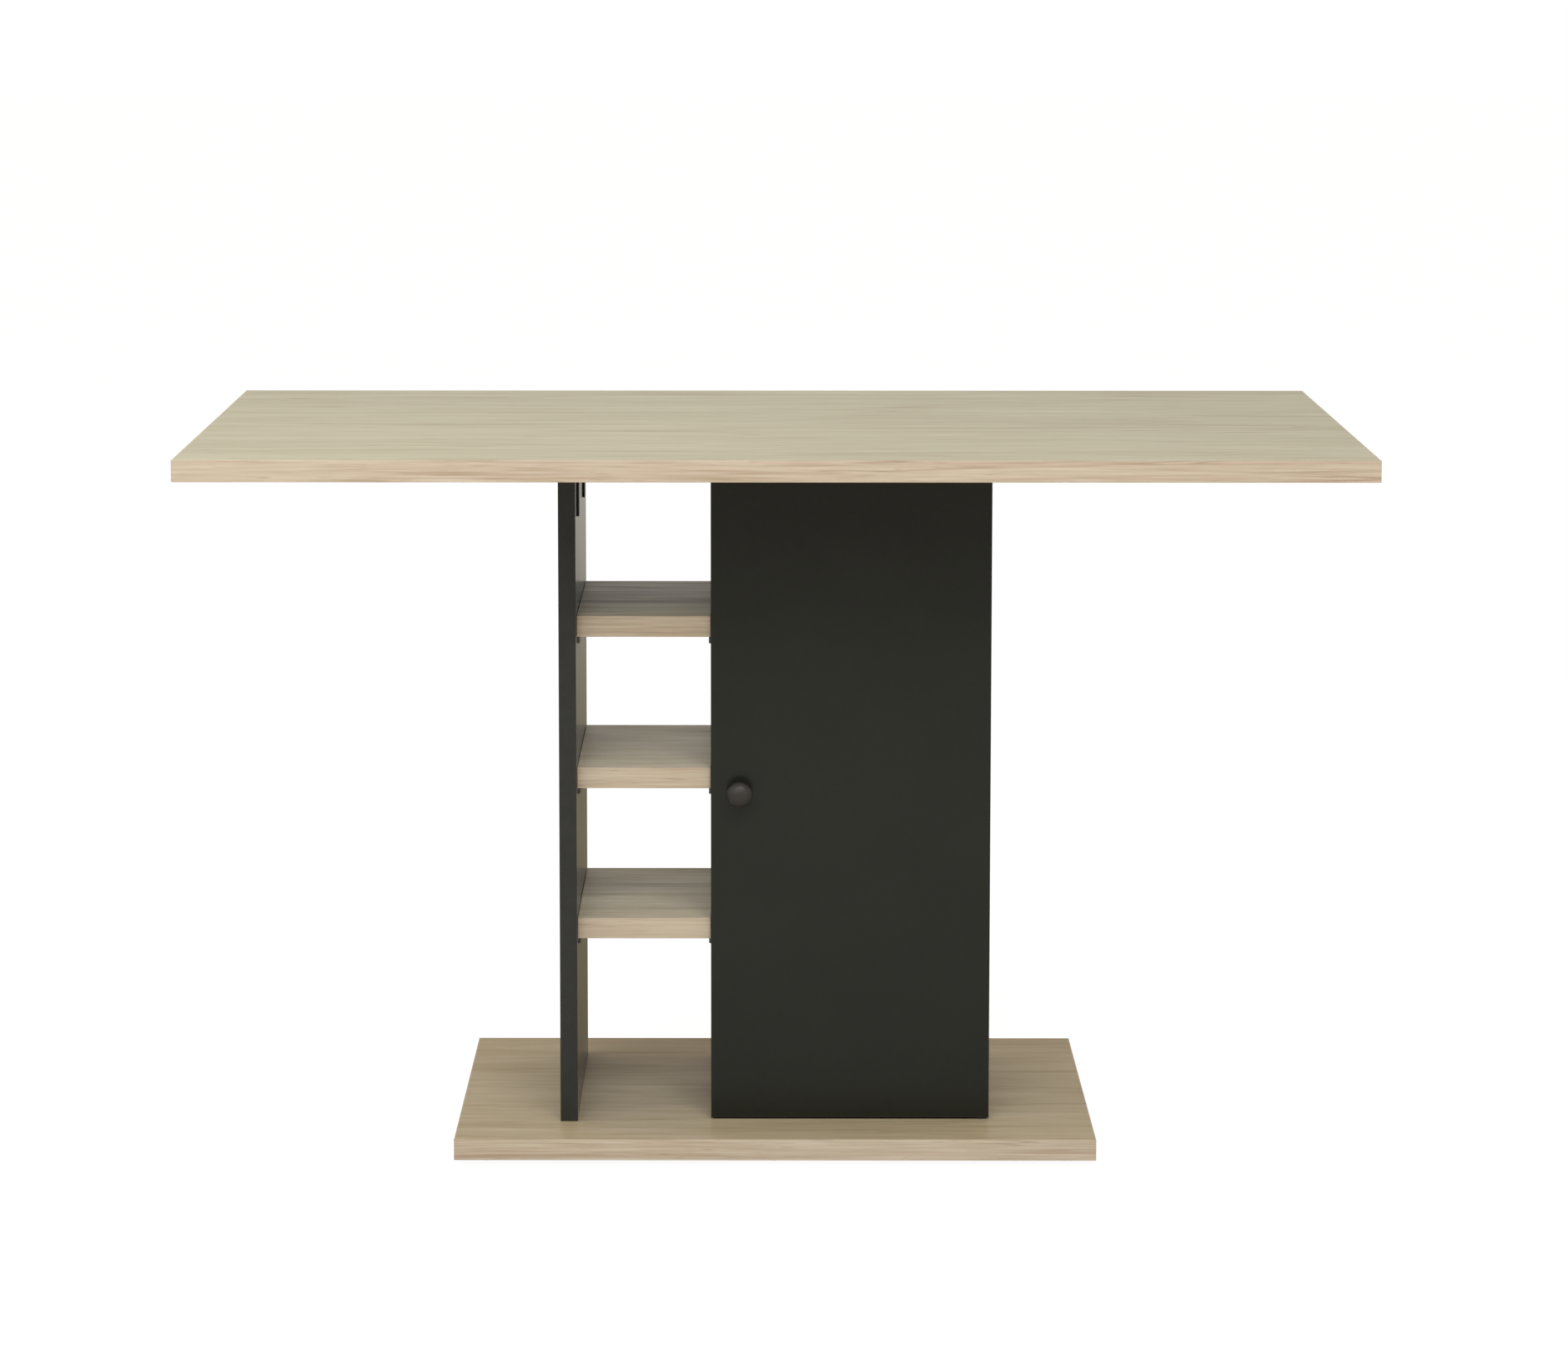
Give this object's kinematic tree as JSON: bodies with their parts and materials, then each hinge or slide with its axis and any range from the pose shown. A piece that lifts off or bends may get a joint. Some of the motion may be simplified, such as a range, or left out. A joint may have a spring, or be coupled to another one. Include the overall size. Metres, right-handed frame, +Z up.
{
  "type": "table with shelf",
  "caption": "Pedestal dining table with an oak-look top and base, a dark column holding an open niche of shelves and a narrow cabinet behind a plain swing door with a round knob.",
  "frame": {"origin": "on the floor under the middle of the tabletop", "axes": "+X to the right along the tabletop's length, +Y from the door's side to the back, +Z up"},
  "size_m": [1.2, 0.7, 0.75],
  "materials": {
    "oak_melamine": "light oak decor, matt melamine",
    "oak_edging": "light oak decor edging",
    "dark_melamine": "anthracite matt melamine",
    "dark_edging": "anthracite edging",
    "black_steel": "black powder coat",
    "zinc_steel": "zinc plated",
    "black_plastic": "moulded",
    "grey_plastic": "moulded",
    "beech": "fluted beech",
    "magnet": "ferrite magnet",
    "knob_finish": "satin anthracite lacquer"
  },
  "bodies": {
    "frame": {"tabletop_board": "oak_melamine", "tabletop_edge_bands": "oak_edging", "base_board": "oak_melamine", "base_edge_bands": "oak_edging", "upper_open_shelf": "oak_melamine", "middle_open_shelf": "oak_melamine", "lower_open_shelf": "oak_melamine", "upper_open_shelf_edge_bands": "oak_edging", "middle_open_shelf_edge_bands": "oak_edging", "lower_open_shelf_edge_bands": "oak_edging", "left_panel": "dark_melamine", "left_panel_edge_bands": "dark_edging", "centre_panel": "dark_melamine", "centre_panel_edge_bands": "dark_edging", "right_panel": "dark_melamine", "right_panel_edge_bands": "dark_edging", "back_panel": "dark_melamine", "upper_cabinet_shelf": "dark_melamine", "lower_cabinet_shelf": "dark_melamine", "upper_cabinet_shelf_edge_band": "dark_edging", "lower_cabinet_shelf_edge_band": "dark_edging", "open_shelf_supports": "grey_plastic", "cabinet_shelf_supports": "grey_plastic", "top_brackets": "black_steel", "bracket_panel_screws": "black_steel", "bracket_top_screws": "black_steel", "base_cam_locks": "zinc_steel", "base_cam_bolts": "zinc_steel", "base_dowels": "beech", "back_cam_locks": "zinc_steel", "back_cam_bolts": "zinc_steel", "back_dowels": "beech", "lower_pivot_socket": "black_plastic", "upper_pivot_socket": "black_plastic", "glides": "black_plastic", "catch_housing": "black_plastic", "catch_magnet": "magnet", "catch_screws": "zinc_steel"},
    "door": {"door_board": "dark_melamine", "door_edge_bands": "dark_edging", "door_knob": "knob_finish", "knob_screw": "zinc_steel", "strike_plate": "zinc_steel", "lower_pivot_pin": "zinc_steel", "upper_pivot_pin": "zinc_steel"}
  },
  "joints": [
    {"name": "door_swing", "type": "hinge", "parent": "frame", "child": "door", "pos_m": [0.217, -0.131, 0.378], "axis": [0, 0, 1], "range_deg": [0, 180]}
  ]
}
